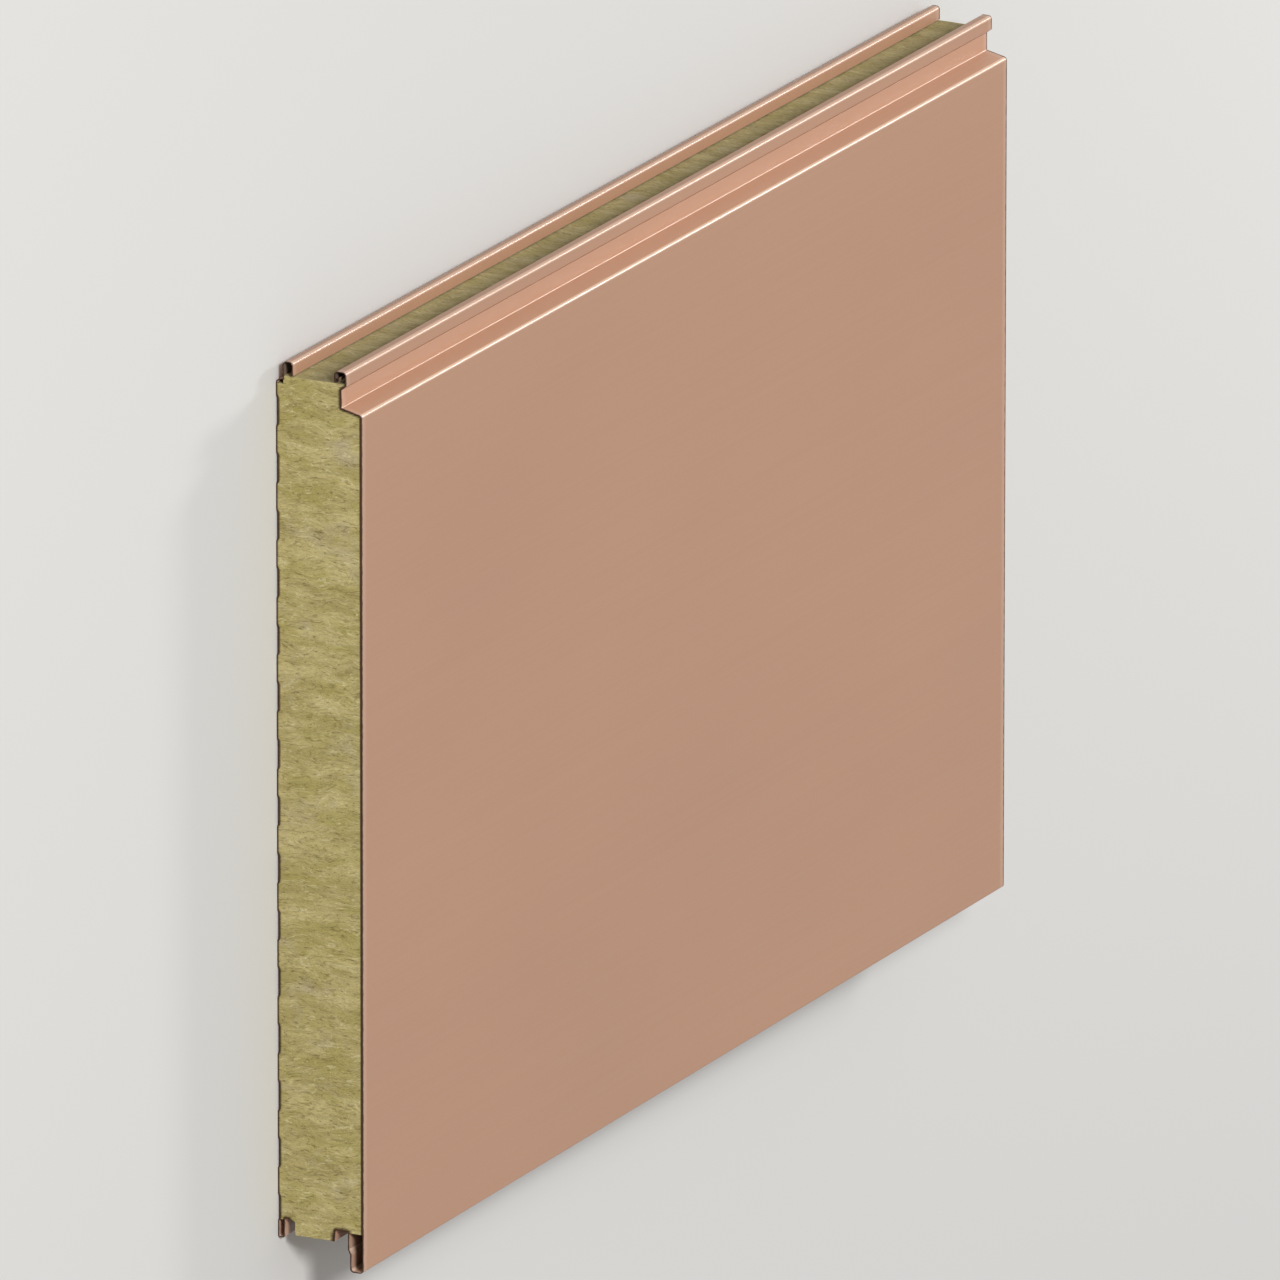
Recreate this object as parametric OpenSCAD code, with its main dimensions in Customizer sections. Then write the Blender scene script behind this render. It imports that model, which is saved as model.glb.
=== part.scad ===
// Insulated sandwich wall panel: two roll-formed steel skins glued to a mineral wool core.
// Sections lie in the Y-Z plane and run along X: Y goes across the panel, from the lip edge
// to the tongue edge, and Z from the liner's rib crests up to the exterior face.

/* [Panel] */
// Length that the panel is cut to
length = 1860; // [600:10:6000]
// Cover width, from one joint to the next
module_w = 1150; // [900:5:1200]
// Thickness over the flats of the two skins
thickness = 120; // [100:5:240]

/* [Sheets] */
// Gauge of the exterior sheet
ext_gauge = 0.8; // [0.5:0.05:1]
// Gauge of the liner sheet
liner_gauge = 0.6; // [0.4:0.05:0.8]
// Inside radius of an ordinary bend
bend_r = 1.2; // [0.8:0.1:1.6]
// Play of a tongue in its groove, on each side
joint_gap = 0.7; // [0.3:0.1:1.2]

/* [Exterior tongue] */
// Shadow gap left open between the shoulder and the next panel's lip
reveal = 3; // [2.5:0.5:8]
// Lean of the shoulder away from square, in degrees
shoulder_lean = 13; // [8:1:16]
// Inside radius of the bend from face to shoulder
shoulder_r = 4; // [1:0.1:5]
// Depth of the fastener recess behind the face
recess_d = 29.3; // [27:0.1:32]
// Height of the flat recess wall
recess_w = 23.7; // [18:0.1:30]
// Depth of the nose behind the face
nose_d = 22.4; // [21:0.1:25]
// Height that the underside of the nose takes to come forward
nose_rise = 5.3; // [3:0.1:8]
// Height of the nose front up to the top of the bead
nose_h = 18.8; // [17:0.1:24]
// Inside radius of the bends over the bead and over the liner's hem
nose_r = 4.2; // [1.2:0.1:4.8]
// Width of the open bead over the tongue
bead_w = 16.8; // [13:0.1:22]
// Length of the bead's inner leg
bead_leg = 14.5; // [12:0.1:15]
// Width of the curl at the end of that leg
curl_w = 6; // [3.5:0.1:7]
// Height of the curl
curl_h = 6; // [4:0.1:7]

/* [Exterior lip] */
// Thickness of the lip over its two legs
lip_w = 18.6; // [16:0.1:20]
// Inside radius of the lip's two bends
lip_r = 3.8; // [3:0.1:7]
// Height of the lip's straight back leg
lip_h = 23; // [18:0.5:30]
// Height over which the back leg joggles to the groove
joggle_h = 7; // [5:0.5:12]
// Room above the bead in the groove
groove_room = 2; // [1:0.5:6]
// Outward flare of the groove's back leg
groove_flare = 2; // [0.5:0.1:3]

/* [Liner] */
// Pitch of the ribs
rib_pitch = 76.3; // [50:0.1:120]
// Depth of the ribs
rib_d = 2.5; // [1.5:0.1:4]
// Width of a rib's sloping side
rib_slope_w = 4; // [3:0.5:8]
// Inside radius of the bends of a rib
rib_r = 2.5; // [1:0.1:3]
// Width of the flat beside the tongue, on the plane of the rib crests
edge_flat_w = 23.6; // [15:0.1:30]
// Height from the joint line to the liner's tongue shoulder
liner_shoulder_h = 31.5; // [28:0.1:33]
// Inside radius of the liner's shoulder bend
liner_shoulder_r = 6; // [3:0.1:6]
// Height of the liner's hem above its shoulder
hem_h = 23.4; // [18:0.1:30]
// Width of the hem
hem_w = 14; // [12:0.1:18]
// Thickness of the liner's lip over its two legs
liner_lip_w = 8.9; // [7.5:0.1:11]
// Gap between the liner's lip and the shoulder of the next panel
liner_lip_gap = 1.3; // [0.5:0.1:3]
// Room above the hem in the liner's groove
liner_groove_room = 4.1; // [2:0.1:6]
// Width of the liner's web at the top of its groove
web_w = 7.9; // [5:0.1:9]

/* [Core] */
// Gap between the cores of two joined panels
core_gap = 1; // [0:0.5:3]
// Height that the core reaches down into the exterior lip below the groove's top
lip_fill = 1.5; // [1.3:0.1:8]
// Height that the core reaches down into the liner's lip, to the middle of the first slope
liner_lip_fill = 2; // [1.8:0.1:5]

/* [Hidden] */
bend_step = 10;

// The curl is bent twice, with a short flat between its two bends
curl_r = 0.45 * (curl_w - 2 * ext_gauge);

// Heights above the liner's rib crests
face_z = thickness + rib_d;
recess_z = face_z - recess_d;
nose_z = face_z - nose_d;
bead_z = nose_z - bead_w;
groove_front_z = nose_z + joint_gap;
groove_back_z = bead_z - joint_gap;
hem_outer_z = liner_lip_w + joint_gap;
hem_inner_z = hem_outer_z + hem_w;
core_side_z = hem_inner_z + joint_gap;

// Places across the panel, from the bottom of the exterior lip
shoulder_y = module_w - reveal;
recess_y = shoulder_y + recess_d * tan(shoulder_lean);
nose_y = recess_y + recess_w;
bead_y = nose_y + nose_rise + nose_h;
curl_y = bead_y - bead_leg;
core_top_y = curl_y - core_gap;
core_bottom_y = core_top_y - module_w + core_gap;
groove_y = bead_y - module_w + groove_room;
liner_shoulder_y = module_w + liner_shoulder_h;
hem_y = liner_shoulder_y + hem_h;
liner_lip_y = liner_shoulder_h + liner_lip_gap;
liner_groove_y = hem_y - module_w + liner_groove_room;
rib_end_y = liner_shoulder_y - edge_flat_w;
rib_start_y = liner_groove_y - liner_lip_fill;
rib_count = floor((rib_end_y - rib_start_y - rib_pitch / 4) / rib_pitch);
overall_w = max(bead_y, hem_y);

// A sheet's path is a list of corners [y, z, inside bend radius] along its outer face,
// with the metal and the core on the left of the way it runs.
function unit(v) = v / norm(v);
function left_of(v) = [-v[1], v[0]];
function turned(v, a) = [v[0] * cos(a) - v[1] * sin(a), v[0] * sin(a) + v[1] * cos(a)];
function turn_angle(u, v) = atan2(u[0] * v[1] - u[1] * v[0], u * v);
function at(p) = [p[0], p[1]];

// One bend as points: the sheet arrives along u, leaves along v, and the line lies d inside its outer face
function bend(corner, u, v, gauge, d) =
    let (
        angle = turn_angle(u, v),
        side = sign(angle),
        outer_r = corner[2] + (side > 0 ? gauge : 0),
        centre = at(corner) - u * outer_r * tan(abs(angle) / 2) + left_of(u) * side * outer_r,
        steps = ceil(abs(angle) / bend_step)
    )
    [for (i = [0 : steps])
        centre - turned(left_of(u), angle * i / steps) * side * (outer_r - side * d)];

// The whole line that lies d inside the outer face of a path
function sheet_line(path, gauge, d) =
    let (
        last = len(path) - 1,
        ways = [for (i = [0 : last - 1]) unit(at(path[i + 1]) - at(path[i]))]
    )
    [
        at(path[0]) + left_of(ways[0]) * d,
        for (i = [1 : last - 1]) each bend(path[i], ways[i - 1], ways[i], gauge, d),
        at(path[last]) + left_of(ways[last - 1]) * d
    ];

function reversed(points) = [for (i = [len(points) - 1 : -1 : 0]) points[i]];

function sheet_outline(path, gauge) =
    concat(sheet_line(path, gauge, 0), reversed(sheet_line(path, gauge, gauge)));

// Exterior sheet, from the curl in the bead over the tongue, the face and the lip into the groove
tongue_corners = [
    [nose_y + nose_rise, nose_z, bend_r],
    [nose_y, recess_z, bend_r],
    [recess_y, recess_z, bend_r],
    [shoulder_y, face_z, shoulder_r]
];
bead_corners = [
    [curl_y + curl_h, bead_z + curl_w, 0],
    [curl_y, bead_z + curl_w, curl_r],
    [curl_y, bead_z, curl_r],
    [bead_y, bead_z, nose_r],
    [bead_y, nose_z, nose_r]
];
lip_corners = [
    [0, face_z, lip_r],
    [0, face_z - lip_w, lip_r],
    [lip_h, face_z - lip_w, bend_r],
    [lip_h + joggle_h, groove_front_z, bend_r]
];
groove_corners = [
    [groove_y, groove_front_z, bend_r],
    [groove_y, groove_back_z, bend_r],
    [core_bottom_y + joint_gap, groove_back_z - groove_flare, 0]
];

// Liner sheet, from the web of its groove round the lip, over the ribs and up into the hem
liner_groove_corners = [
    [liner_groove_y, liner_lip_w + web_w, 0],
    [liner_groove_y, liner_lip_w, bend_r]
];
liner_lip_corners = [
    [liner_lip_y, liner_lip_w, bend_r],
    [liner_lip_y, 0, bend_r],
    [rib_start_y - rib_slope_w / 2, 0, rib_r]
];
rib_corners = [
    [rib_start_y + rib_slope_w / 2, rib_d, rib_r],
    for (i = [rib_count - 1 : -1 : 0]) each rib(rib_end_y - (i + 0.75) * rib_pitch),
    [rib_end_y - rib_slope_w / 2, rib_d, rib_r],
    [rib_end_y + rib_slope_w / 2, 0, rib_r]
];
hem_corners = [
    [liner_shoulder_y, 0, liner_shoulder_r],
    [liner_shoulder_y, hem_outer_z, bend_r],
    [hem_y, hem_outer_z, nose_r],
    [hem_y, hem_inner_z, nose_r],
    [core_top_y + joint_gap, hem_inner_z, 0]
];

// The four corners of one rib, whose crest is half a pitch wide
function rib(middle) = [
    for (side = [-1, 1], part = [-1, 1])
        [middle + side * rib_pitch / 4 + part * rib_slope_w / 2, side == part ? rib_d : 0, rib_r]
];

// The core fills the room between the skins, so most of its outline is their inner line.
// It leaves a pocket under the liner's shoulder, where the sheet turns too wide for the wool.
pocket_y = liner_shoulder_y - liner_shoulder_r - liner_gauge;
core_outline = concat(
    sheet_line(
        concat([[core_top_y, nose_z]], tongue_corners, [[groove_y - lip_fill, face_z]]),
        ext_gauge, ext_gauge
    ),
    sheet_line(
        concat([[groove_y - lip_fill, groove_front_z]], groove_corners),
        ext_gauge, ext_gauge
    ),
    [
        [core_bottom_y, groove_back_z - groove_flare - ext_gauge],
        [core_bottom_y, core_side_z],
        [liner_groove_y - liner_groove_room + joint_gap, core_side_z]
    ],
    sheet_line(
        concat(liner_groove_corners, [[rib_start_y, liner_lip_w]]),
        liner_gauge, liner_gauge
    ),
    sheet_line(
        concat([[rib_start_y, rib_d / 2]], rib_corners, [[pocket_y, 0]]),
        liner_gauge, liner_gauge
    ),
    [
        [pocket_y, hem_outer_z + liner_gauge],
        [core_top_y, hem_outer_z + liner_gauge]
    ]
);

// Runs a Y-Z outline along the panel, with the origin under the middle of the part
module along_panel(outline) {
    translate([-length / 2, -overall_w / 2, 0])
        rotate([90, 0, 90])
            linear_extrude(height = length)
                polygon(outline);
}

module exterior_skin() {
    color([0.74, 0.58, 0.48])
        along_panel(sheet_outline(
            concat(bead_corners, tongue_corners, lip_corners, groove_corners), ext_gauge
        ));
}

module interior_liner() {
    color([0.76, 0.60, 0.50])
        along_panel(sheet_outline(
            concat(liner_groove_corners, liner_lip_corners, rib_corners, hem_corners), liner_gauge
        ));
}

module mineral_wool_core() {
    color([0.68, 0.63, 0.42])
        along_panel(core_outline);
}

exterior_skin();
interior_liner();
mineral_wool_core();
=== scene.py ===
# Insulated wall panel lying on its liner: two painted steel skins glued to a mineral wool core.
import math
import random

import bmesh
import bpy
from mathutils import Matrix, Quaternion, Vector, noise
from mathutils.bvhtree import BVHTree
from mathutils.kdtree import KDTree


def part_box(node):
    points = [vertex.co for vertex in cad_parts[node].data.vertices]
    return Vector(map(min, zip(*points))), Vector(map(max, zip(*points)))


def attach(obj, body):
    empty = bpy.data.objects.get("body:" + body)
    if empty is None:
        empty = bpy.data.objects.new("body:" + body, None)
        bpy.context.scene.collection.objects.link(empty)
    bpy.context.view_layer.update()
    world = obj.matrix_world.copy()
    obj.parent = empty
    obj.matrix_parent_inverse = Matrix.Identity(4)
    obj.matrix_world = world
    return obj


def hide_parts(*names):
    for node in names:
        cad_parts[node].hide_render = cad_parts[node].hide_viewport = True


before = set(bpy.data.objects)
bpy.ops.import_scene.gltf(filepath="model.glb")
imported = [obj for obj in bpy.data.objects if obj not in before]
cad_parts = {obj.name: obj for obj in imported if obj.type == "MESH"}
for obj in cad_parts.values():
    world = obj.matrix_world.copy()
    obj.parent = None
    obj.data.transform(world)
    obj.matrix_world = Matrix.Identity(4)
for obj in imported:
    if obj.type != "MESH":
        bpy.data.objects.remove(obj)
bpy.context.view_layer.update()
scene = bpy.context.scene
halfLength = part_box("exterior_skin")[1][0]      # the panel lies along x, its middle at 0
print("frame loaded")


# Small helpers

def screenColour(red, green, blue):
    # a colour as a picker shows it, 0 to 255, made linear for the shaders
    shown = [c / 255 for c in (red, green, blue)]
    return (*[((c + 0.055) / 1.055) ** 2.4 if c > 0.04 else c / 12.92 for c in shown], 1)


def smoothStep(low, high, value):
    # 0 up to low, 1 from high on, and a soft rise between them
    t = min(1.0, max(0.0, (value - low) / (high - low)))
    return t * t * (3 - 2 * t)


def addNode(tree, kind, inputs=None, **settings):
    node = tree.nodes.new("ShaderNode" + kind)
    for name, value in settings.items():
        setattr(node, name, value)
    for name, value in (inputs or {}).items():
        if isinstance(value, bpy.types.NodeSocket):
            tree.links.new(value, node.inputs[name])
        else:
            node.inputs[name].default_value = value
    return node


def calc(tree, operation, a, b=0.0, clamp=False):
    return addNode(tree, "Math", {0: a, 1: b}, operation=operation, use_clamp=clamp).outputs[0]


noiseRange = (0.3, 0.7)       # nearly all of a noise lies between these


def spread(tree, value, low, high, toLow=0.0, toHigh=1.0):
    # low to high becomes toLow to toHigh, and no further
    inputs = {"Value": value, "From Min": low, "From Max": high, "To Min": toLow, "To Max": toHigh}
    return addNode(tree, "MapRange", inputs).outputs[0]


def mixColour(tree, factor, a, b):
    return addNode(tree, "Mix", {0: factor, 6: a, 7: b}, data_type="RGBA").outputs[2]


def stretchedNoise(tree, place, cells, detail, rough, tilt=0.0):
    # noise with so many cells in a metre along each axis, tilted in both upright planes
    if tilt:
        lean = {"Vector": place, "Axis": (0.707, 0.707, 0), "Angle": math.radians(tilt)}
        place = addNode(tree, "VectorRotate", lean).outputs[0]
    mapped = addNode(tree, "Mapping", {"Vector": place, "Scale": cells}).outputs[0]
    inputs = {"Vector": mapped, "Scale": 1.0, "Detail": detail, "Roughness": rough}
    return addNode(tree, "TexNoise", inputs).outputs["Fac"]


def newMaterial(name):
    material = bpy.data.materials.new(name)
    material.use_nodes = True
    tree = material.node_tree
    tree.nodes.clear()
    shader = addNode(tree, "BsdfPrincipled")
    addNode(tree, "OutputMaterial", {"Surface": shader.outputs[0]})
    return material, tree, shader


def newGroup(name, inputs, outputs):
    tree = bpy.data.node_groups.new(name, "ShaderNodeTree")
    for label, kind, value in inputs:
        socket = tree.interface.new_socket(label, in_out="INPUT", socket_type="NodeSocket" + kind)
        socket.default_value = value
    for label, kind in outputs:
        tree.interface.new_socket(label, in_out="OUTPUT", socket_type="NodeSocket" + kind)
    return tree, tree.nodes.new("NodeGroupInput"), tree.nodes.new("NodeGroupOutput")


def addBump(tree, shader, height, strength=1.0):
    bump = addNode(tree, "Bump", {"Height": height, "Strength": strength, "Distance": 1.0})
    tree.links.new(bump.outputs[0], shader.inputs["Normal"])


def mergedCopy(nodeName):
    # a CAD node's loose triangles joined into flats
    shape = bmesh.new()
    shape.from_mesh(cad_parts[nodeName].data)
    bmesh.ops.remove_doubles(shape, verts=shape.verts, dist=1e-6)
    bmesh.ops.dissolve_limit(shape, angle_limit=math.radians(0.1), verts=shape.verts, edges=shape.edges)
    return shape


def addPiece(name, shape, materials):
    mesh = bpy.data.meshes.new(name)
    shape.to_mesh(mesh)
    shape.free()
    piece = bpy.data.objects.new(name, mesh)
    scene.collection.objects.link(piece)
    for material in materials:
        mesh.materials.append(material)
    return piece


# Coil coated steel

coating = {
    "exterior": screenColour(179, 135, 108),
    "liner": screenColour(180, 137, 111),
    "backing": screenColour(184, 146, 122),      # thin coat on the side that faces the wool
    "bend": screenColour(244, 210, 183),         # painted highlight on a bend that looks up or out, partly the coating stretched pale there
    "backingBendHighlight": screenColour(250, 222, 200),
    "bendHighlightStrength": 0.62,
    "bendGloss": 0.10,                           # how much smoother a bend is
    "recess": 0.21,                              # painted light: how much brighter the fastener recess is painted, standing in for light the ledge throws back
    "hollow": screenColour(44, 30, 20),          # painted shade inside the bead and the hem, where little light gets, and in the curl, the lip and the grooves
    "paintedShadeStrength": 0.85,
    "grooveShadeFade": (0.008, 0.017),                # how far in from the ends the painted shade in the grooves and lip sets in
    "endGlow": 0.11,                             # how much paler the paint is beside a sawn end
    "endColour": (0.9, 0.72, 0.62, 1),
    "endWidth": 0.013,
    "rim": screenColour(58, 34, 16),             # burnt edge of the coating along the saw cut
    "rimWidth": 0.0030,
    "rimStrength": 0.9,
    "fray": 0.0008,                              # how far that edge wanders
    "cloud": 0.030,                              # how far the slow tone lightens or darkens it
    "drift": 0.008,                              # and the drift along the rolling direction
    "speckle": 0.05,
    "roughness": 0.36,
    "backingRoughness": 0.62,
    "streakRoughness": (-0.04, 0.05),            # what the rolling streaks add
    "rimRoughness": 0.3,                         # what the burnt rim adds
    "specular": 0.3,
    "peel": 0.000012,                            # heights of the paint's skin, of its rolling streaks
    "streak": 0.000012,
    "buckle": 0.0011,                            # and of the sheet's slow waves
}

coatPatterns = {
    # name: cells in a metre along x, y and z, detail, roughness
    "cloud": ((1.3, 1.9, 8), 3, 0.5),
    "drift": ((0.5, 60, 60), 2, 0.5),
    "grain": ((900, 900, 900), 2, 0.6),
    "fray": ((40, 90, 90), 2, 0.5),
    "streak": ((2, 300, 300), 3, 0.6),
    "peel": ((420, 420, 420), 2, 0.5),
    "buckle": ((2.2, 3.1, 3), 1, 0.4),
}


def buildCoilCoat():
    tree, given, made = newGroup(
        "coilCoat",
        [("Colour", "Color", (0.5, 0.3, 0.2, 1)), ("Bend Colour", "Color", (0.8, 0.6, 0.4, 1)),
         ("Roughness", "Float", 0.36), ("End Glow", "Float", 0.1)],
        [("Colour", "Color"), ("Roughness", "Float"), ("Height", "Float")])
    place = addNode(tree, "TexCoord").outputs["Object"]
    # slow cloudy tone, and a faint drift along the rolling direction
    cloud = stretchedNoise(tree, place, *coatPatterns["cloud"])
    drift = stretchedNoise(tree, place, *coatPatterns["drift"])
    tone = calc(tree, "ADD", spread(tree, cloud, *noiseRange, -coating["cloud"], coating["cloud"]),
                spread(tree, drift, *noiseRange, -coating["drift"], coating["drift"]))
    # painted light, a little brighter in the fastener recess and on the inner wall of the hem, and painted
    # shade over the bead's crest
    recess = addNode(tree, "Attribute", attribute_name="recess").outputs["Fac"]
    tone = calc(tree, "ADD", tone, calc(tree, "MULTIPLY", recess, coating["recess"]))
    toned = addNode(tree, "HueSaturation", {"Color": given.outputs["Colour"],
                                            "Value": calc(tree, "ADD", tone, 1.0)}).outputs[0]
    # speckle of the pigment
    bendColour = given.outputs["Bend Colour"]
    grain = stretchedNoise(tree, place, *coatPatterns["grain"])
    colour = mixColour(tree, spread(tree, grain, 0.35, 0.7, 0, coating["speckle"]), toned, bendColour)
    # painted highlight on the bends that look up or out, partly the coating stretched pale there
    bend = addNode(tree, "Attribute", attribute_name="bend").outputs["Fac"]
    colour = mixColour(tree, calc(tree, "MULTIPLY", bend, coating["bendHighlightStrength"]), colour, bendColour)
    # how far in from the nearer sawn end, with a wandering edge
    along = addNode(tree, "SeparateXYZ", {0: place}).outputs["X"]
    fray = stretchedNoise(tree, place, *coatPatterns["fray"])
    fray = spread(tree, fray, *noiseRange, -coating["fray"], coating["fray"])
    fromEnd = calc(tree, "ADD", calc(tree, "SUBTRACT", halfLength, calc(tree, "ABSOLUTE", along)), fray)
    # painted shade inside the bead and the hem, and in the lip and the grooves further in than their ends
    hollow = addNode(tree, "Attribute", attribute_name="hollow").outputs["Fac"]
    groove = addNode(tree, "Attribute", attribute_name="groove").outputs["Fac"]
    groove = calc(tree, "MULTIPLY", groove, spread(tree, fromEnd, *coating["grooveShadeFade"]))
    paintedShadeMix = calc(tree, "MULTIPLY", calc(tree, "MAXIMUM", hollow, groove), coating["paintedShadeStrength"])
    colour = mixColour(tree, paintedShadeMix, colour, coating["hollow"])
    # a paler band that fades out beside each sawn end, and the burnt rim along the cut
    glow = spread(tree, fromEnd, coating["endWidth"], coating["endWidth"] * 0.6)
    glow = calc(tree, "MULTIPLY", glow, given.outputs["End Glow"])
    colour = mixColour(tree, glow, colour, coating["endColour"])
    rim = spread(tree, fromEnd, coating["rimWidth"], coating["rimWidth"] * 0.5, 0, coating["rimStrength"])
    tree.links.new(mixColour(tree, rim, colour, coating["rim"]), made.inputs["Colour"])
    # smoother on the bends, rougher where it is burnt
    streak = stretchedNoise(tree, place, *coatPatterns["streak"])
    uneven = spread(tree, streak, *noiseRange, *coating["streakRoughness"])
    rough = calc(tree, "ADD", given.outputs["Roughness"], uneven)
    rough = calc(tree, "SUBTRACT", rough, calc(tree, "MULTIPLY", bend, coating["bendGloss"]))
    rough = calc(tree, "ADD", rough, calc(tree, "MULTIPLY", rim, coating["rimRoughness"]))
    tree.links.new(rough, made.inputs["Roughness"])
    # height
    peel = stretchedNoise(tree, place, *coatPatterns["peel"])
    peel = calc(tree, "MULTIPLY", peel, coating["peel"])
    buckle = stretchedNoise(tree, place, *coatPatterns["buckle"])
    buckle = calc(tree, "MULTIPLY", buckle, coating["buckle"])
    height = calc(tree, "ADD", peel, buckle)
    height = calc(tree, "ADD", height, calc(tree, "MULTIPLY", streak, coating["streak"]))
    tree.links.new(height, made.inputs["Height"])
    return tree


coilCoat = buildCoilCoat()


def paintMaterial(name, colour, bendColour, roughness):
    material, tree, shader = newMaterial(name)
    coat = tree.nodes.new("ShaderNodeGroup")
    coat.node_tree = coilCoat
    coat.inputs["Colour"].default_value = colour
    coat.inputs["Bend Colour"].default_value = bendColour
    coat.inputs["Roughness"].default_value = roughness
    coat.inputs["End Glow"].default_value = coating["endGlow"]
    tree.links.new(coat.outputs["Colour"], shader.inputs["Base Color"])
    tree.links.new(coat.outputs["Roughness"], shader.inputs["Roughness"])
    addBump(tree, shader, coat.outputs["Height"])
    shader.inputs["Specular IOR Level"].default_value = coating["specular"]
    return material


sawnEdge = {
    "dark": screenColour(42, 24, 12),
    "light": screenColour(70, 43, 25),
    "blotches": ((120, 120, 900), 3, 0.6),
    "sawLines": ((400, 90, 2500), 2, 0.5),
    "sawLineHeight": 0.00006,
    "roughness": (0.45, 0.7),
    "specular": 0.2,
}


def sawnSteelMaterial():
    material, tree, shader = newMaterial("sawnSteel")
    place = addNode(tree, "TexCoord").outputs["Object"]
    blotch = stretchedNoise(tree, place, *sawnEdge["blotches"])
    lines = stretchedNoise(tree, place, *sawnEdge["sawLines"])
    colour = mixColour(tree, spread(tree, blotch, 0.35, 0.65), sawnEdge["dark"], sawnEdge["light"])
    tree.links.new(colour, shader.inputs["Base Color"])
    tree.links.new(spread(tree, lines, *noiseRange, *sawnEdge["roughness"]), shader.inputs["Roughness"])
    addBump(tree, shader, calc(tree, "MULTIPLY", lines, sawnEdge["sawLineHeight"]))
    shader.inputs["Specular IOR Level"].default_value = sawnEdge["specular"]
    return material


exteriorPaint = paintMaterial("exteriorPaint", coating["exterior"], coating["bend"], coating["roughness"])
linerPaint = paintMaterial("linerPaint", coating["liner"], coating["bend"], coating["roughness"])
backingCoat = paintMaterial("backingCoat", coating["backing"], coating["backingBendHighlight"],
                            coating["backingRoughness"])
sawnSteel = sawnSteelMaterial()
print("steel materials built")


# The two skins

beadEdge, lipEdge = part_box("exterior_skin")[1][1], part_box("exterior_skin")[0][1]
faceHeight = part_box("exterior_skin")[1][2]

jointMarks = {
    # where each part of the joint begins and ends, across the panel and in height
    "recess": (beadEdge - 0.0541, beadEdge - 0.0238),
    "recessBelow": faceHeight - 0.0035,
    "pastRecess": beadEdge - 0.0221,
    "curlTo": beadEdge - 0.0079,
    "curlHeights": (faceHeight - 0.0345, faceHeight - 0.0325),
    "crownFrom": beadEdge - 0.0051,
    "hemBelow": 0.030,
    "grooveTo": lipEdge + 0.0585,
    "grooveWalls": ((0.0070, 0.0100), (0.0740, 0.0850)),
    "lipFrom": faceHeight - 0.0230,
    "joggle": (lipEdge + 0.0240, lipEdge + 0.0320),
    # how strongly each is marked: painted light in the recess and on the hem's wall, painted shade over
    # the crown, the curl, the grooves and the lip
    "recessWallLight": 1.0,
    "recessLedgeLight": 0.8,
    "hemWallLight": 0.60,
    "crownShade": -0.85,
    "curlShade": 0.65,
    "grooveWallShade": 0.65,
    "lipShade": 0.6,
    # a bend's facets are narrower than this, and its painted highlight weakens past the recess
    "bendFacet": 0.0012,
    "bendWeakens": (beadEdge - 0.0241, beadEdge - 0.0141),
    "bendPastRecess": 0.6,
}


def between(value, limits):
    return limits[0] < value < limits[1]


def markPaintedLight(shape):
    # painted highlight, 1 on the points inside a bend that looks up or out and 0 where a flat begins, and
    # painted light and shade on the recess, the hem wall and the crest
    shape.normal_update()
    bendLayer = shape.verts.layers.float.new("bend")
    paintedLightLayer = shape.verts.layers.float.new("recess")
    for vert in shape.verts:
        _, y, z = vert.co
        rims = [e for e in vert.link_edges if abs(e.verts[0].co.x - e.verts[1].co.x) < 1e-6]
        widest = max((e.calc_length() for e in rims), default=0)
        sides = [f.normal for f in vert.link_faces if abs(f.normal.x) < 0.5]
        facing = sum(sides, Vector()).normalized() if sides else Vector()
        if widest < jointMarks["bendFacet"]:
            weaker = 1 - (1 - jointMarks["bendPastRecess"]) * smoothStep(*jointMarks["bendWeakens"], y)
            vert[bendLayer] = smoothStep(-0.2, 0.5, facing.y) * smoothStep(-0.1, 0.4, facing.z) * weaker
        # painted highlight along the inner face of the lip's joggle
        if between(y, jointMarks["joggle"]) and z > jointMarks["lipFrom"] and 0.1 < facing.z < 0.99:
            vert[bendLayer] = 1.0
        # painted light in the recess and on the hem's inner wall, painted shade over the bead's crest
        if between(y, jointMarks["recess"]) and z < jointMarks["recessBelow"] and facing.z > 0.15:
            vert[paintedLightLayer] = jointMarks["recessWallLight" if facing.z > 0.9 else "recessLedgeLight"]
        elif y > jointMarks["pastRecess"] and z < jointMarks["hemBelow"] and facing.z > 0.9:
            vert[paintedLightLayer] = jointMarks["hemWallLight"]
        elif y > jointMarks["crownFrom"]:
            vert[paintedLightLayer] = jointMarks["crownShade"] * smoothStep(0.70, 0.92, facing.y)


def markPaintedShade(shape):
    # painted shade on the backing inside the bead, the hem and the lip, on the curl's end and on the walls
    # of the two grooves
    paintedShadeLayer = shape.verts.layers.float.new("hollow")
    grooveShadeLayer = shape.verts.layers.float.new("groove")
    for vert in shape.verts:
        _, y, z = vert.co
        unpainted = all(f.material_index for f in vert.link_faces)
        if unpainted and y > jointMarks["pastRecess"]:
            vert[paintedShadeLayer] = 1.0
        elif jointMarks["pastRecess"] < y < jointMarks["curlTo"] and between(z, jointMarks["curlHeights"]):
            vert[paintedShadeLayer] = jointMarks["curlShade"]
        if y < jointMarks["grooveTo"]:
            if any(between(z, heights) for heights in jointMarks["grooveWalls"]):
                vert[grooveShadeLayer] = jointMarks["grooveWallShade"]
            elif unpainted and z > jointMarks["lipFrom"]:
                vert[grooveShadeLayer] = jointMarks["lipShade"]


gentleBend = math.radians(20)
sharpBend = math.radians(35)      # an edge that turns more than this is shaded sharp


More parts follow.
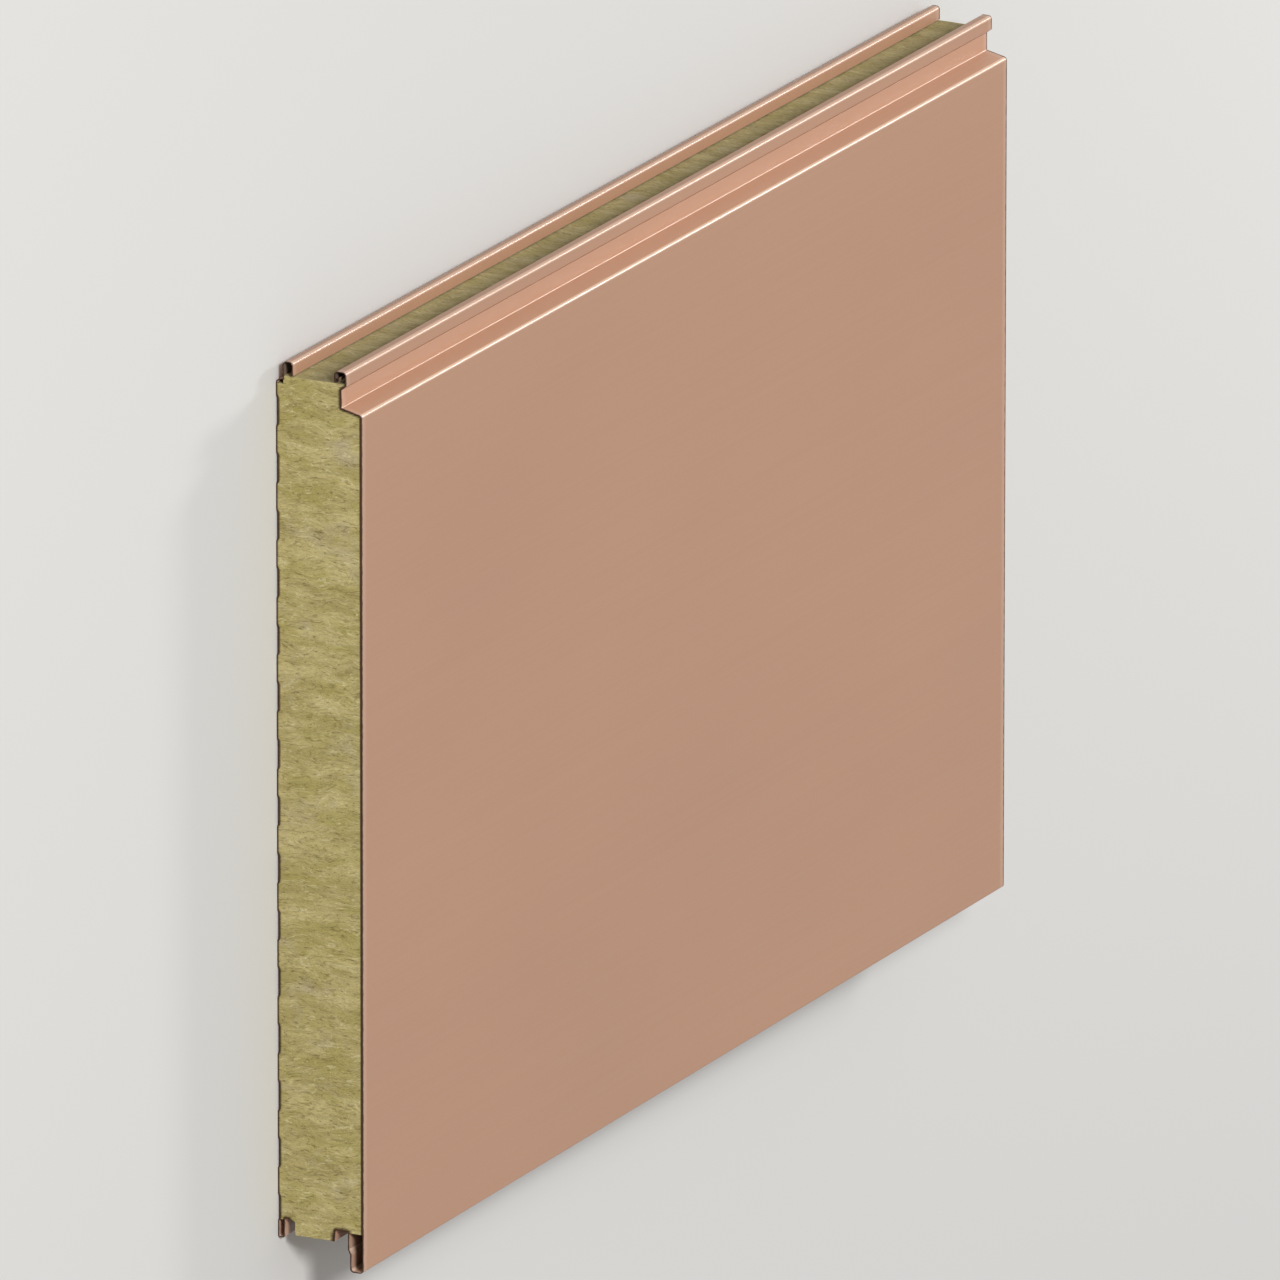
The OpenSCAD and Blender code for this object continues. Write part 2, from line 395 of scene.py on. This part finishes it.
def markFinishes(shape, weatherSide):
    # the painted side is what can be walked to from the widest outer face over gentle bends only
    def outAndWide(face):
        return round(face.calc_center_median().z * weatherSide, 5), face.calc_area()

    for face in shape.faces:
        face.smooth = True
        face.material_index = 2 if abs(face.normal.x) > 0.9 else 1
    outer = [f for f in shape.faces if f.normal.z * weatherSide > 0.99]
    reached = [max(outer, key=outAndWide)]
    reached[0].material_index = 0
    while reached:
        for edge in reached.pop().edges:
            if len(edge.link_faces) == 2 and edge.calc_face_angle() < gentleBend:
                for face in edge.link_faces:
                    if face.material_index == 1:
                        face.material_index = 0
                        reached.append(face)


def buildSkin(name, nodeName, paint, weatherSide):
    shape = mergedCopy(nodeName)
    markPaintedLight(shape)
    markFinishes(shape, weatherSide)
    markPaintedShade(shape)
    skin = addPiece(name, shape, [paint, backingCoat, sawnSteel])
    skin.data.set_sharp_from_angle(angle=sharpBend)
    normals = skin.modifiers.new("flatsFirst", "WEIGHTED_NORMAL")
    normals.mode = "FACE_AREA"
    normals.weight = 100
    normals.keep_sharp = True
    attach(skin, "root")
    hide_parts(nodeName)


buildSkin("exterior_sheet", "exterior_skin", exteriorPaint, 1)
buildSkin("liner_sheet", "interior_liner", linerPaint, -1)
print("skins built")


# Mineral wool core

wool = {
    # the grid that the relief is cut into
    "columnWidth": 0.0018,    # across the panel, on the sawn ends
    "slotWidth": 0.0034,      # along the panel, on its two long sides
    "rowFine": 0.0011,        # through the thickness, beside the skins and at the steps
    "rowCoarse": 0.0055,
    "rowFade": (0.0025, 0.009),
    "stepHeights": (0.0102, 0.0924, 0.0816, 0.0243),
    "overrun": 0.0006,        # how far the first block passes the core above and below
    "inset": 0.00002,         # and how far it stays inside it across the panel
    # relief
    "sink": 0.0008,           # how far the wool lies back from the sheets' ends
    "sinkAtSkin": {True: 0.6, False: 0.15},  # share of it beside the skins, on the ends and on the sides
    "calmWidth": 0.006,       # the relief dies down this near to the skins
    "calmRelief": 0.25,
    "sideCalm": (-0.001, 0.008),
    "leastSink": 0.00006,
    "strand": 0.00050,
    "band": 0.00055,
    "pit": 0.0014,
    "pitFrom": 0.40,
    "crimp": 0.006,
    "crimpCells": (14, 17),   # cells in a metre across the panel, or along it, and through it
    "strandCells": (300, 30),
    "bandCells": (75, 13),
    "pitCells": (190, 70),
    "fullRelief": 0.0024,
    # glue
    "glueWidth": 0.0026,
    "glueFade": (0.75, 1.3),
    "linerGlueLess": 0.0012,  # how much narrower it is on the liner side
    "linerGlueBelow": 0.02,
    "glueTouch": 0.0004,
    "gluePoints": 0.0005,     # spacing of the points along it
    # colours
    "light": screenColour(190, 176, 123),
    "middle": screenColour(166, 152, 98),
    "green": screenColour(163, 151, 88),
    "dark": screenColour(139, 125, 73),
    "grey": screenColour(177, 164, 136),
    "shred": screenColour(202, 191, 145),
    "dab": screenColour(118, 101, 58),
    "speck": screenColour(89, 73, 38),
    "glue": screenColour(58, 36, 17),
    "shade": screenColour(70, 58, 34),
    "sideShade": {-1: 0.45, 1: 0.58},  # how far each long side goes to it beside the exterior sheet
    "shadeReach": 0.65,       # share of a side's height after which it gets no darker
    "glueCover": 0.94,
    # creases and shreds: where the slow field crosses, how wide, and between which gaps
    "creaseAt": 0.5,
    "creaseWidth": (0.020, 0.006),
    "creaseGaps": (0.50, 0.60),
    "shredAt": 0.56,
    "shredWidth": (0.026, 0.008),
    "shredGaps": (0.52, 0.42),
    # heights for the shading
    "strandHeight": 0.0007,
    "fibreHeight": 0.00035,
    "creaseDepth": 0.0004,
    "dabDepth": 0.0005,
    "bumpStrength": 0.8,
    "roughness": (0.82, 0.98),
    "specular": 0.10,
    "sheen": 0.06,
    "sheenRoughness": 0.6,
    "sharpAngle": 50,         # degrees
}

atPlane = 1e-5                # nearer than this is on a sawn end
atSidePlane = 5e-5


def rowHeights():
    # rows through the thickness, close together beside the skins and at the tongue's steps
    low, high = map(Vector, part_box("mineral_wool_core"))
    fine = (low.z, high.z) + wool["stepHeights"]
    rows = []
    z = low.z - wool["overrun"]
    while z < high.z:
        rows.append(z)
        near = min(abs(z - f) for f in fine)
        z += wool["rowFine"] + (wool["rowCoarse"] - wool["rowFine"]) * smoothStep(*wool["rowFade"], near)
    rows.append(high.z + wool["overrun"])
    return rows


def buildWoolBlock():
    low, high = map(Vector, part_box("mineral_wool_core"))
    rows = rowHeights()
    columns = round((high.y - low.y) / wool["columnWidth"])
    block = bmesh.new()
    bmesh.ops.create_grid(block, x_segments=len(rows) - 1, y_segments=columns, size=0.5)
    inset = wool["inset"]
    for vert in block.verts:
        row = round((vert.co.x + 0.5) * (len(rows) - 1))
        across = low.y + inset + (vert.co.y + 0.5) * (high.y - low.y - 2 * inset)
        vert.co = (-halfLength, across, rows[row])
    pulled = bmesh.ops.extrude_face_region(block, geom=block.faces[:])["geom"]
    farEnd = [item for item in pulled if isinstance(item, bmesh.types.BMVert)]
    bmesh.ops.translate(block, verts=farEnd, vec=(2 * halfLength, 0, 0))
    # the two long sides are cut across
    middle = (low.y + high.y) / 2
    reach = (high.y - low.y) / 2 - 2 * inset
    lengthwise = [e for e in block.edges if e.calc_length() > halfLength
                  and abs(abs(e.verts[0].co.y - middle) - reach) < 4 * inset]
    cuts = round(2 * halfLength / wool["slotWidth"]) - 1
    bmesh.ops.subdivide_edges(block, edges=lengthwise, cuts=cuts, use_grid_fill=True)
    bmesh.ops.recalc_face_normals(block, faces=block.faces)
    return block


def trimToCore(block):
    # keeps what lies inside the core's own outline
    piece = addPiece("mineral_wool", block, [])
    cutter = mergedCopy("mineral_wool_core")
    bmesh.ops.scale(cutter, vec=(1.01, 1, 1), verts=cutter.verts)
    cutterPiece = addPiece("woolOutline", cutter, [])
    trim = piece.modifiers.new("trim", "BOOLEAN")
    trim.operation = "INTERSECT"
    trim.solver = "EXACT"
    trim.object = cutterPiece
    trimmed = bpy.data.meshes.new_from_object(piece.evaluated_get(bpy.context.evaluated_depsgraph_get()))
    for thing in (piece, cutterPiece):
        bpy.data.objects.remove(thing)
    shape = bmesh.new()
    shape.from_mesh(trimmed)
    bpy.data.meshes.remove(trimmed)
    bmesh.ops.remove_doubles(shape, verts=shape.verts, dist=4e-6)
    return shape


def glueLines():
    # points along the sawn outline where the wool touches a sheet
    def outlinePoints(nodeName):
        shape = mergedCopy(nodeName)
        points = []
        for edge in shape.edges:
            a, b = edge.verts[0].co, edge.verts[1].co
            if max(a.x, b.x) < -halfLength + atPlane:
                steps = max(1, math.ceil(edge.calc_length() / wool["gluePoints"]))
                points += [a.lerp(b, i / steps) for i in range(steps + 1)]
        shape.free()
        return points

    def searchTree(points):
        tree = KDTree(len(points))
        for i, point in enumerate(points):
            tree.insert(point, i)
        tree.balance()
        return tree

    sheets = searchTree(outlinePoints("exterior_skin") + outlinePoints("interior_liner"))
    core = outlinePoints("mineral_wool_core")
    return searchTree([point for point in core if sheets.find(point)[2] < wool["glueTouch"]])


def reliefHeight(u, v, w):
    # fibres lie through the thickness v: long cells along it, short ones across; w tells the sides apart
    def field(cells, across, layer):
        return noise.noise(Vector((across * cells[0], v * cells[1], layer)))

    warp = wool["crimp"] * field(wool["crimpCells"], u, w * 3 + 5.3)
    strand = field(wool["strandCells"], u + warp, w * 5)
    band = field(wool["bandCells"], u + warp * 2, w * 5 + 9.1)
    pit = field(wool["pitCells"], u, w * 5 + 2.7)
    pit = max(0.0, pit - wool["pitFrom"]) / wool["pitFrom"]
    return wool["strand"] * strand + wool["band"] * band - wool["pit"] * pit


def sideShade(side, span, z):
    # the tongue and the lip darken the long sides towards the exterior sheet
    upTheSide = (z - span[0]) / (span[1] - span[0])
    return wool["sideShade"][side] * smoothStep(0, wool["shadeReach"], upTheSide)


def sideSpans(shape):
    # between which heights the wool shows on the groove side, -1, and on the tongue side, 1
    low, high = map(Vector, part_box("mineral_wool_core"))
    spans = {}
    for side, edge in ((-1, low.y), (1, high.y)):
        heights = [v.co.z for v in shape.verts if abs(v.co.y - edge) < atSidePlane]
        spans[side] = (min(heights), max(heights))
    return spans


def roughenWool(shape, glue, spans):
    # sets the wool back from the sheets' ends, with its relief, and marks its glue, relief and shade
    low, high = map(Vector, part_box("mineral_wool_core"))
    glueLayer = shape.verts.layers.float.new("glue")
    reliefLayer = shape.verts.layers.float.new("relief")
    shadeLayer = shape.verts.layers.float.new("shade")
    for vert in shape.verts:
        x, y, z = vert.co
        vert[reliefLayer] = 0.5
        atEnd = abs(x) > halfLength - atPlane
        atSide = min(y - low.y, high.y - y) < atSidePlane
        if not (atEnd or atSide):
            continue
        distance = glue.find(Vector((-halfLength, y, z)))[2]
        if z < wool["linerGlueBelow"]:
            distance += wool["linerGlueLess"]
        calm = smoothStep(0.0, wool["calmWidth"], distance)
        if atEnd:
            glueFrom, glueTo = (wool["glueWidth"] * share for share in wool["glueFade"])
            vert[glueLayer] = 1 - smoothStep(glueFrom, glueTo, distance)
            height = reliefHeight(y, z, 1.7 * math.copysign(1, x))
        else:
            side = 1 if y > 0 else -1
            vert[shadeLayer] = sideShade(side, spans[side], z)
            calm = min(calm, smoothStep(*wool["sideCalm"], min(z - spans[side][0], spans[side][1] - z)))
            height = reliefHeight(x, z, 3.9 * side)
        vert[reliefLayer] = 0.5 + height / wool["fullRelief"]
        atSkin = wool["sinkAtSkin"][atEnd]
        depth = wool["sink"] * (atSkin + (1 - atSkin) * calm)
        depth -= height * (wool["calmRelief"] + (1 - wool["calmRelief"]) * calm)
        depth = max(wool["leastSink"], depth)
        if atEnd:
            vert.co.x -= math.copysign(depth, x)
        if atSide:
            vert.co.y -= math.copysign(depth, y - (low.y + high.y) / 2)


woolPatterns = {
    # name: cells in a metre along x, y and z, detail, roughness, lean in degrees
    "strands": ((300, 300, 40), 4, 0.65, 0),
    "bands": ((52, 52, 11), 3, 0.6, 0),
    "patches": ((24, 20, 15), 3, 0.55, 0),
    "tufts": ((38, 38, 17), 2, 0.5, 0),
    "dabs": ((330, 330, 85), 2, 0.55, 0),
    "leftFibres": ((1500, 1500, 80), 2, 0.6, 16),
    "rightFibres": ((1300, 1300, 95), 2, 0.6, -20),
    "folds": ((110, 110, 20), 2, 0.5, 6),
    "gaps": ((70, 70, 38), 2, 0.5, 0),
}


def crimpedPlace(tree, place):
    # a slow warp across the panel bends every finer pattern
    field = addNode(tree, "TexNoise", {"Vector": place, "Scale": 16.0, "Detail": 2.0, "Roughness": 0.5})
    shift = {0: field.outputs["Color"], 1: (0.5, 0.5, 0.5)}
    shift = addNode(tree, "VectorMath", shift, operation="SUBTRACT").outputs[0]
    shift = {0: shift, 1: (0.030, 0.030, 0.0)}
    shift = addNode(tree, "VectorMath", shift, operation="MULTIPLY").outputs[0]
    return addNode(tree, "VectorMath", {0: place, 1: shift}, operation="ADD").outputs[0]


def woolMaterial():
    material, tree, shader = newMaterial("mineralWool")
    place = addNode(tree, "TexCoord").outputs["Object"]
    crimped = crimpedPlace(tree, place)
    pattern = {name: stretchedNoise(tree, crimped, cells, detail, rough, lean)
               for name, (cells, detail, rough, lean) in woolPatterns.items()}
    flecks = stretchedNoise(tree, place, (260, 260, 150), 2, 0.6)
    # two sets of single fibres that lean either way, one showing here and the other there
    swap = spread(tree, stretchedNoise(tree, place, (60, 60, 35), 2, 0.5), 0.44, 0.56)
    leaning = {0: swap, 2: pattern["leftFibres"], 3: pattern["rightFibres"]}
    fibres = addNode(tree, "Mix", leaning, data_type="FLOAT").outputs[0]
    # thin dark creases and pale shreds run where a slow field crosses a value, broken by a second one
    folds, gaps = pattern["folds"], pattern["gaps"]
    crease = calc(tree, "ABSOLUTE", calc(tree, "SUBTRACT", folds, wool["creaseAt"]))
    crease = calc(tree, "MULTIPLY", spread(tree, crease, *wool["creaseWidth"]),
                  spread(tree, gaps, *wool["creaseGaps"]))
    shred = calc(tree, "ABSOLUTE", calc(tree, "SUBTRACT", folds, wool["shredAt"]))
    shred = calc(tree, "MULTIPLY", spread(tree, shred, *wool["shredWidth"]),
                 spread(tree, gaps, *wool["shredGaps"]))

    # each layer of colour: where it lies, and which it is
    under = (
        (spread(tree, pattern["bands"], 0.36, 0.64), "light"),
        (spread(tree, pattern["tufts"], 0.50, 0.62, 0, 0.7), "green"),
        (spread(tree, pattern["strands"], 0.50, 0.72, 0, 0.70), "dark"),
        (spread(tree, pattern["patches"], 0.58, 0.72, 0, 0.55), "grey"),
        (calc(tree, "MULTIPLY", shred, 0.7), "shred"),
        (spread(tree, pattern["dabs"], 0.61, 0.72, 0, 0.62), "dab"),
        (calc(tree, "MULTIPLY", crease, 0.5), "dab"),
    )
    relief = addNode(tree, "Attribute", attribute_name="relief").outputs["Fac"]
    glue = addNode(tree, "Attribute", attribute_name="glue").outputs["Fac"]
    over = (
        (spread(tree, flecks, 0.71, 0.78, 0, 0.7), "speck"),
        (spread(tree, flecks, 0.31, 0.25, 0, 0.8), "shred"),
        # painted shade: the deeper the relief's pits, the more they turn to the speck colour
        (spread(tree, relief, 0.36, -0.15, 0, 0.5), "speck"),
        (addNode(tree, "Attribute", attribute_name="shade").outputs["Fac"], "shade"),
        (calc(tree, "MULTIPLY", glue, wool["glueCover"]), "glue"),
    )
    colour = wool["middle"]
    for mask, layer in under:
        colour = mixColour(tree, mask, colour, wool[layer])
    brightness = spread(tree, fibres, 0.34, 0.66, 0.80, 1.20)
    colour = addNode(tree, "HueSaturation", {"Color": colour, "Value": brightness}).outputs[0]
    for mask, layer in over:
        colour = mixColour(tree, mask, colour, wool[layer])
    tree.links.new(colour, shader.inputs["Base Color"])
    rough = spread(tree, pattern["strands"], *noiseRange, *wool["roughness"])
    tree.links.new(rough, shader.inputs["Roughness"])

    height = calc(tree, "ADD", calc(tree, "MULTIPLY", pattern["strands"], wool["strandHeight"]),
                  calc(tree, "MULTIPLY", fibres, wool["fibreHeight"]))
    height = calc(tree, "SUBTRACT", height, calc(tree, "MULTIPLY", crease, wool["creaseDepth"]))
    hollows = calc(tree, "MULTIPLY", spread(tree, pattern["dabs"], 0.58, 0.72), wool["dabDepth"])
    addBump(tree, shader, calc(tree, "SUBTRACT", height, hollows), wool["bumpStrength"])
    shader.inputs["Specular IOR Level"].default_value = wool["specular"]
    shader.inputs["Sheen Weight"].default_value = wool["sheen"]
    shader.inputs["Sheen Roughness"].default_value = wool["sheenRoughness"]
    return material


woolGlue = glueLines()
woolShape = trimToCore(buildWoolBlock())
woolSpans = sideSpans(woolShape)
roughenWool(woolShape, woolGlue, woolSpans)
for face in woolShape.faces:
    face.smooth = True
woolSurface = BVHTree.FromBMesh(woolShape)
mineralWool = addPiece("mineral_wool", woolShape, [woolMaterial()])
mineralWool.data.set_sharp_from_angle(angle=math.radians(wool["sharpAngle"]))
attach(mineralWool, "root")
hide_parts("mineral_wool_core")
print("wool built:", len(mineralWool.data.polygons), "faces")


# Fibres that the saw left loose on the wool

looseFibres = {
    "doublings": 12,          # 2 to this power is how many there are
    "steps": 5,
    "onEnds": 0.72,           # share on the two sawn ends, the rest on the long sides
    "clear": 0.003,           # kept free along the long sides' edges
    "length": (0.005, 0.022),
    "lean": 24,               # degrees, either side of the way through the panel
    "turn": 28,               # degrees, how far one bends over its length
    "radius": (0.00008, 0.00015),
    "tip": 0.35,              # how thin both ends are
    "shreds": 0.16,           # share that are wider, flat shreds
    "shredRadius": (0.00025, 0.00048),
    "shredLength": 0.45,
    "shredFlatness": 0.4,
    "lift": 0.00050,
    "liftShare": (0.2, 1.0),
    "pressedIn": 0.6,         # share of the radius
    "deepest": 0.0035,        # a ray that ends deeper has missed the wool's outer face
    "margin": 0.00004,        # kept from the panel's outermost planes
    "seed": 11,
    "pale": screenColour(208, 195, 148),
    "plain": screenColour(168, 152, 100),
    "mottle": 0.2,            # how far a fibre's tone varies over its length
    "roughness": (0.55, 0.8),
    "specular": 0.25,
}


def buildFibreStock(doublings, steps):
    # straight three sided fibres 1 long, each with its own number
    stock = bmesh.new()
    number = stock.verts.layers.int.new("number")
    bmesh.ops.create_cone(stock, cap_ends=True, segments=3, radius1=1, radius2=1, depth=1)
    along = [e for e in stock.edges if abs(e.verts[0].co.z - e.verts[1].co.z) > 0.5]
    bmesh.ops.subdivide_edges(stock, edges=along, cuts=steps - 1, use_grid_fill=True)
    for doubling in range(doublings):
        everything = stock.verts[:] + stock.edges[:] + stock.faces[:]
        for item in bmesh.ops.duplicate(stock, geom=everything)["geom"]:
            if isinstance(item, bmesh.types.BMVert):
                item[number] += 2 ** doubling
    return stock, number


def layFibre(chance, low, high):
    # a curved line over the wool: its places, the way out of the wool, radius, flatness and tone,
    # or nothing where it would leave the wool's face or reach the glue
    onEnd = chance.random() < looseFibres["onEnds"]
    side = chance.choice((-1, 1))
    out = Vector((side, 0, 0)) if onEnd else Vector((0, side, 0))
    across = Vector((0, 1, 0)) if onEnd else Vector((1, 0, 0))
    clear = looseFibres["clear"]
    span = (low.z, high.z) if onEnd else (woolSpans[side][0] + clear, woolSpans[side][1] - clear)
    along = (low.y, high.y) if onEnd else (-halfLength, halfLength)
    place = across * chance.uniform(*along) + Vector((0, 0, chance.uniform(*span)))
    length = chance.uniform(*looseFibres["length"])
    isShred = chance.random() < looseFibres["shreds"]
    radius = chance.uniform(*looseFibres["shredRadius" if isShred else "radius"])
    if isShred:
        length *= looseFibres["shredLength"]
    steps = looseFibres["steps"]
    angle = math.radians(chance.gauss(0, looseFibres["lean"]))
    turn = math.radians(chance.gauss(0, looseFibres["turn"])) / steps
    lift = looseFibres["lift"] * chance.uniform(*looseFibres["liftShare"])
    plane = halfLength if onEnd else abs(low.y if side < 0 else high.y)
    limit = plane - radius - looseFibres["margin"]
    places = []
    for step in range(steps + 1):
        hit = woolSurface.ray_cast(place + out * 2, -out)[0]
        if hit is None or abs(hit.dot(out) - limit) > looseFibres["deepest"] or not between(hit.z, span):
            return None
        if woolGlue.find(Vector((-halfLength, hit.y, hit.z)))[2] < wool["glueWidth"]:
            return None
        rise = lift * math.sin(math.pi * step / steps) - radius * looseFibres["pressedIn"]
        places.append(hit + out * min(rise, limit - hit.dot(out)))
        place += (across * math.sin(angle) + Vector((0, 0, 1)) * math.cos(angle)) * (length / steps)
        angle += turn
    return places, out, radius, looseFibres["shredFlatness"] if isShred else 1.0, chance.random()


def buildLooseFibres():
    # bends each straight fibre of the stock onto a line that was laid for it
    low, high = map(Vector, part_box("mineral_wool_core"))
    chance = random.Random(looseFibres["seed"])
    stock, number = buildFibreStock(looseFibres["doublings"], looseFibres["steps"])
    toneLayer = stock.verts.layers.float.new("tone")
    shadeLayer = stock.verts.layers.float.new("shade")
    laid = []
    while len(laid) < 2 ** looseFibres["doublings"]:
        fibre = layFibre(chance, low, high)
        if fibre:
            laid.append(fibre)
    for vert in stock.verts:
        places, out, radius, flat, tone = laid[vert[number]]
        step = round((vert.co.z + 0.5) * looseFibres["steps"])
        ahead = places[min(step + 1, len(places) - 1)] - places[max(step - 1, 0)]
        across = out.cross(ahead).normalized()      # this way round the faces go on pointing outwards
        taper = radius * (looseFibres["tip"] if step in (0, looseFibres["steps"]) else 1.0)
        vert[toneLayer] = tone
        if out.y:
            vert[shadeLayer] = sideShade(out.y, woolSpans[out.y], places[step].z)
        vert.co = places[step] + (across * vert.co.x + out * (vert.co.y * flat)) * taper
    for face in stock.faces:
        face.smooth = True
    return stock


def fibreMaterial():
    material, tree, shader = newMaterial("looseFibre")
    place = addNode(tree, "TexCoord").outputs["Object"]
    tone = addNode(tree, "Attribute", attribute_name="tone").outputs["Fac"]
    mottle = stretchedNoise(tree, place, (500, 500, 200), 2, 0.5)
    uneven = spread(tree, mottle, *noiseRange, -looseFibres["mottle"], looseFibres["mottle"])
    mixed = calc(tree, "ADD", tone, uneven, clamp=True)
    colour = mixColour(tree, mixed, looseFibres["plain"], looseFibres["pale"])
    shade = addNode(tree, "Attribute", attribute_name="shade").outputs["Fac"]
    tree.links.new(mixColour(tree, shade, colour, wool["shade"]), shader.inputs["Base Color"])
    rough = spread(tree, mottle, *noiseRange, *looseFibres["roughness"])
    tree.links.new(rough, shader.inputs["Roughness"])
    shader.inputs["Specular IOR Level"].default_value = looseFibres["specular"]
    return material


woolFibres = addPiece("wool_fibres", buildLooseFibres(), [fibreMaterial()])
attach(woolFibres, "root")
print("loose fibres laid:", 2 ** looseFibres["doublings"])


# Floor, light and camera

studio = {
    "floorSize": 220.0,
    "floorColour": (0.72, 0.71, 0.69, 1),
    "floorRoughness": 0.9,
    "floorGap": 0.0002,       # how far it lies below the rib crests
    "backdrop": (0.80, 0.79, 0.77, 1),
    "worldStrength": 0.40,
}

lamps = {
    # name: position, size, power in watts
    "key": ((-10.1, 6.8, 10.7), 3.6, 1720),
    "alongTheBends": ((6.0, 2.2, 3.2), 1.3, 160),
}

view = {
    # angles in degrees, distances in metres, the lens in millimetres
    "aim": (0.0146, -0.0206, 0.0429),
    "distance": 43.959,
    "azimuth": 161.133,
    "elevation": 25.519,
    "roll": 98.411,
    "lens": 950,
    "clip": (1.0, 400.0),
}


def buildFloor():
    shape = bmesh.new()
    bmesh.ops.create_grid(shape, x_segments=1, y_segments=1, size=studio["floorSize"] / 2)
    bmesh.ops.translate(shape, verts=shape.verts, vec=(0, 0, -studio["floorGap"]))
    material, _, shader = newMaterial("paleFloor")
    shader.inputs["Base Color"].default_value = studio["floorColour"]
    shader.inputs["Roughness"].default_value = studio["floorRoughness"]
    addPiece("floor", shape, [material])


def buildWorld():
    world = bpy.data.worlds.new("studio")
    scene.world = world
    world.use_nodes = True
    tree = world.node_tree
    tree.nodes.clear()
    rays = addNode(tree, "LightPath")
    shown = addNode(tree, "Background", {"Color": studio["backdrop"], "Strength": 1.0})
    light = addNode(tree, "Background", {"Color": (1, 1, 1, 1), "Strength": studio["worldStrength"]})
    seen = calc(tree, "MAXIMUM", rays.outputs["Is Camera Ray"], rays.outputs["Is Glossy Ray"])
    seen = calc(tree, "MAXIMUM", seen, rays.outputs["Is Transmission Ray"])
    both = addNode(tree, "MixShader", {0: seen, 1: light.outputs[0], 2: shown.outputs[0]})
    addNode(tree, "OutputWorld", {"Surface": both.outputs[0]})


def buildLamps():
    for name, (position, size, power) in lamps.items():
        data = bpy.data.lights.new(name, "AREA")
        data.shape = "DISK"
        data.size = size
        data.energy = power
        lamp = bpy.data.objects.new(name, data)
        lamp.location = position
        lamp.rotation_mode = "QUATERNION"
        lamp.rotation_quaternion = (-Vector(position)).to_track_quat("-Z", "Y")
        scene.collection.objects.link(lamp)


def buildCamera():
    data = bpy.data.cameras.new("camera")
    data.lens = view["lens"]
    data.clip_start, data.clip_end = view["clip"]
    camera = bpy.data.objects.new("camera", data)
    azimuth, elevation = math.radians(view["azimuth"]), math.radians(view["elevation"])
    back = Vector((math.cos(elevation) * math.cos(azimuth), math.cos(elevation) * math.sin(azimuth),
                   math.sin(elevation)))
    roll = Quaternion(back, math.radians(view["roll"]))
    camera.location = Vector(view["aim"]) + back * view["distance"]
    camera.rotation_mode = "QUATERNION"
    camera.rotation_quaternion = roll @ (-back).to_track_quat("-Z", "Y")
    scene.collection.objects.link(camera)
    scene.camera = camera


buildFloor()
buildWorld()
buildLamps()
buildCamera()
scene.view_settings.view_transform = "Standard"
print("studio built")
